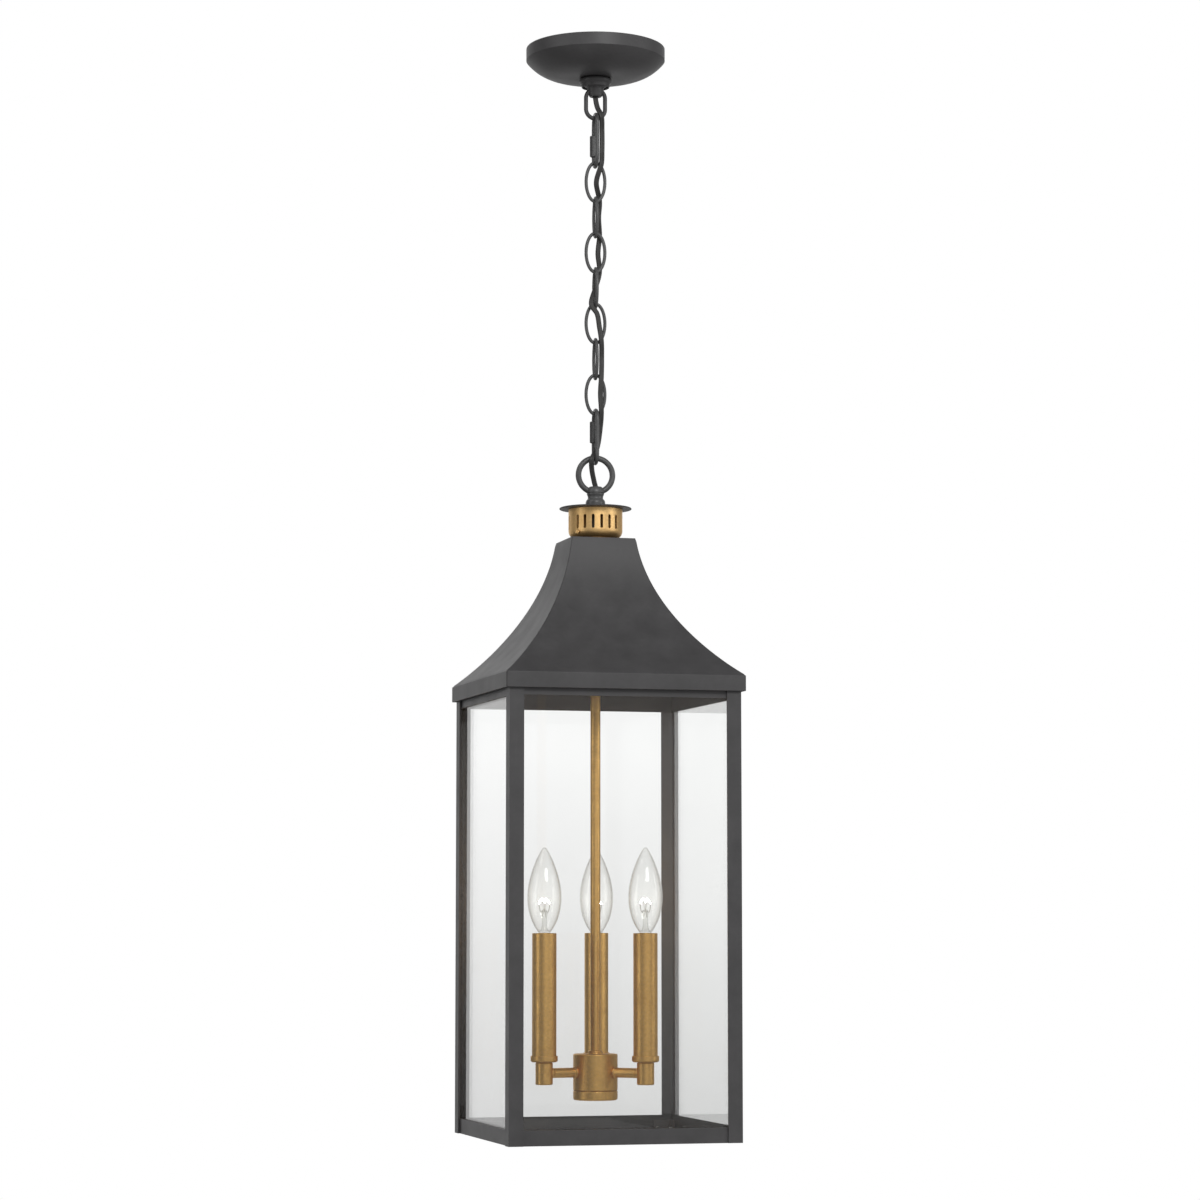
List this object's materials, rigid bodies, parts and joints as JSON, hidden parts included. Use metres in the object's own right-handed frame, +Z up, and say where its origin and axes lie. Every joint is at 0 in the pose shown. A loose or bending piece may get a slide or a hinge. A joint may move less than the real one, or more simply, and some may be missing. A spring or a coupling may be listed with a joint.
{
  "type": "hanging lantern",
  "caption": "Hanging lantern: flared square roof over a glazed square frame with a brass candle cluster, on a link chain with a laced cord and a round ceiling canopy.",
  "frame": {"origin": "on the ceiling plane, at the centre of the canopy and crossbar", "axes": "+Z up, out of the lantern into the ceiling; -Y towards the lantern's front pane; X across the front pane and along the crossbar"},
  "size_m": [0.2216, 0.2216, 1.0115],
  "materials": {
    "charcoal_paint": "satin powder coat",
    "aged_brass": "satin antique",
    "gallery_brass": "satin, lighter gold",
    "plated_steel": "zinc plated",
    "clear_glass": "clear",
    "bulb_glass": "clear, lit",
    "cord_jacket": "matte",
    "socket_phenolic": "moulded"
  },
  "bodies": {
    "ceiling_mount": {"crossbar": "plated_steel", "crossbar_screw_left": "plated_steel", "crossbar_screw_right": "plated_steel", "ceiling_nipple": "plated_steel", "crossbar_lock_nut": "plated_steel", "canopy_loop": "charcoal_paint", "chain_cord": "cord_jacket"},
    "canopy": {"canopy_shell": "charcoal_paint", "canopy_collar_ring": "charcoal_paint"},
    "quick_link_top": {"quick_link_top": "charcoal_paint"},
    "chain_link_1": {"chain_link_1": "charcoal_paint"},
    "chain_link_2": {"chain_link_2": "charcoal_paint"},
    "chain_link_3": {"chain_link_3": "charcoal_paint"},
    "chain_link_4": {"chain_link_4": "charcoal_paint"},
    "chain_link_5": {"chain_link_5": "charcoal_paint"},
    "chain_link_6": {"chain_link_6": "charcoal_paint"},
    "chain_link_7": {"chain_link_7": "charcoal_paint"},
    "quick_link_bottom": {"quick_link_bottom": "charcoal_paint"},
    "quick_link_top_sleeve": {"quick_link_top_sleeve": "charcoal_paint"},
    "quick_link_bottom_sleeve": {"quick_link_bottom_sleeve": "charcoal_paint"},
    "lantern": {"suspension_ring": "charcoal_paint", "cap_disc": "charcoal_paint", "gallery": "gallery_brass", "gallery_screw": "gallery_brass", "roof": "charcoal_paint", "lantern_nipple": "plated_steel", "roof_lock_nut": "plated_steel", "post_front_left": "charcoal_paint", "post_front_right": "charcoal_paint", "post_back_left": "charcoal_paint", "post_back_right": "charcoal_paint", "top_rails": "charcoal_paint", "base_rails": "charcoal_paint", "glass_front": "clear_glass", "glass_back": "clear_glass", "glass_left": "clear_glass", "glass_right": "clear_glass", "stem": "aged_brass", "stem_cord": "cord_jacket", "hub_body": "aged_brass", "arm_back": "aged_brass", "arm_left": "aged_brass", "arm_right": "aged_brass", "candle_cup_back": "aged_brass", "candle_cup_left": "aged_brass", "candle_cup_right": "aged_brass", "socket_back": "socket_phenolic", "socket_left": "socket_phenolic", "socket_right": "socket_phenolic"},
    "hub_cap": {"hub_cap": "aged_brass"},
    "candle_cover_back": {"candle_cover_back": "aged_brass"},
    "candle_cover_left": {"candle_cover_left": "aged_brass"},
    "candle_cover_right": {"candle_cover_right": "aged_brass"},
    "bulb_back": {"bulb_base_back": "aged_brass", "bulb_glass_back": "bulb_glass"},
    "bulb_left": {"bulb_base_left": "aged_brass", "bulb_glass_left": "bulb_glass"},
    "bulb_right": {"bulb_base_right": "aged_brass", "bulb_glass_right": "bulb_glass"}
  },
  "joints": [
    {"name": "quick_link_top_swing", "type": "hinge", "parent": "ceiling_mount", "child": "quick_link_top", "pos_m": [0, 0, -0.06645], "axis": [0.9969, -0.0785, 0], "range_deg": [-8, 8], "deforming": ["chain_cord"]},
    {"name": "chain_link_1_swing", "type": "hinge", "parent": "quick_link_top", "child": "chain_link_1", "pos_m": [0, 0, -0.112], "axis": [0.0785, 0.9969, 0], "range_deg": [-8, 8], "deforming": ["chain_cord"]},
    {"name": "chain_link_2_swing", "type": "hinge", "parent": "chain_link_1", "child": "chain_link_2", "pos_m": [0, 0, -0.14525], "axis": [0.9969, -0.0785, 0], "range_deg": [-8, 8], "deforming": ["chain_cord"]},
    {"name": "chain_link_3_swing", "type": "hinge", "parent": "chain_link_2", "child": "chain_link_3", "pos_m": [0, 0, -0.17875], "axis": [0.0785, 0.9969, 0], "range_deg": [-8, 8], "deforming": ["chain_cord"]},
    {"name": "chain_link_4_swing", "type": "hinge", "parent": "chain_link_3", "child": "chain_link_4", "pos_m": [0, 0, -0.21225], "axis": [0.9969, -0.0785, 0], "range_deg": [-8, 8], "deforming": ["chain_cord"]},
    {"name": "chain_link_5_swing", "type": "hinge", "parent": "chain_link_4", "child": "chain_link_5", "pos_m": [0, 0, -0.24575], "axis": [0.0785, 0.9969, 0], "range_deg": [-8, 8], "deforming": ["chain_cord"]},
    {"name": "chain_link_6_swing", "type": "hinge", "parent": "chain_link_5", "child": "chain_link_6", "pos_m": [0, 0, -0.27925], "axis": [0.9969, -0.0785, 0], "range_deg": [-8, 8], "deforming": ["chain_cord"]},
    {"name": "chain_link_7_swing", "type": "hinge", "parent": "chain_link_6", "child": "chain_link_7", "pos_m": [0, 0, -0.31275], "axis": [0.0785, 0.9969, 0], "range_deg": [-8, 8], "deforming": ["chain_cord"]},
    {"name": "quick_link_bottom_swing", "type": "hinge", "parent": "chain_link_7", "child": "quick_link_bottom", "pos_m": [0, 0, -0.34625], "axis": [0.9969, -0.0785, 0], "range_deg": [-8, 8], "deforming": ["chain_cord"]},
    {"name": "lantern_swing", "type": "hinge", "parent": "quick_link_bottom", "child": "lantern", "pos_m": [0, 0, -0.3922], "axis": [0.0785, 0.9969, 0], "range_deg": [-8, 8], "deforming": ["chain_cord"]},
    {"name": "canopy_slide", "type": "slide", "parent": "ceiling_mount", "child": "canopy", "axis": [0, 0, 1], "range_m": [-0.03, 0]},
    {"name": "top_sleeve_slide", "type": "slide", "parent": "quick_link_top", "child": "quick_link_top_sleeve", "axis": [0, 0, 1], "range_m": [0, 0.008]},
    {"name": "bottom_sleeve_slide", "type": "slide", "parent": "quick_link_bottom", "child": "quick_link_bottom_sleeve", "axis": [0, 0, 1], "range_m": [-0.008, 0]},
    {"name": "hub_cap_slide", "type": "slide", "parent": "lantern", "child": "hub_cap", "axis": [0, 0, 1], "range_m": [-0.02, 0]},
    {"name": "candle_cover_back_lift", "type": "slide", "parent": "lantern", "child": "candle_cover_back", "axis": [0, 0, 1], "range_m": [0, 0.005]},
    {"name": "candle_cover_left_lift", "type": "slide", "parent": "lantern", "child": "candle_cover_left", "axis": [0, 0, 1], "range_m": [0, 0.005]},
    {"name": "candle_cover_right_lift", "type": "slide", "parent": "lantern", "child": "candle_cover_right", "axis": [0, 0, 1], "range_m": [0, 0.005]},
    {"name": "bulb_back_unscrew", "type": "slide", "parent": "lantern", "child": "bulb_back", "axis": [0, 0, 1], "range_m": [0, 0.03]},
    {"name": "bulb_left_unscrew", "type": "slide", "parent": "lantern", "child": "bulb_left", "axis": [0, 0, 1], "range_m": [0, 0.03]},
    {"name": "bulb_right_unscrew", "type": "slide", "parent": "lantern", "child": "bulb_right", "axis": [0, 0, 1], "range_m": [0, 0.03]}
  ]
}
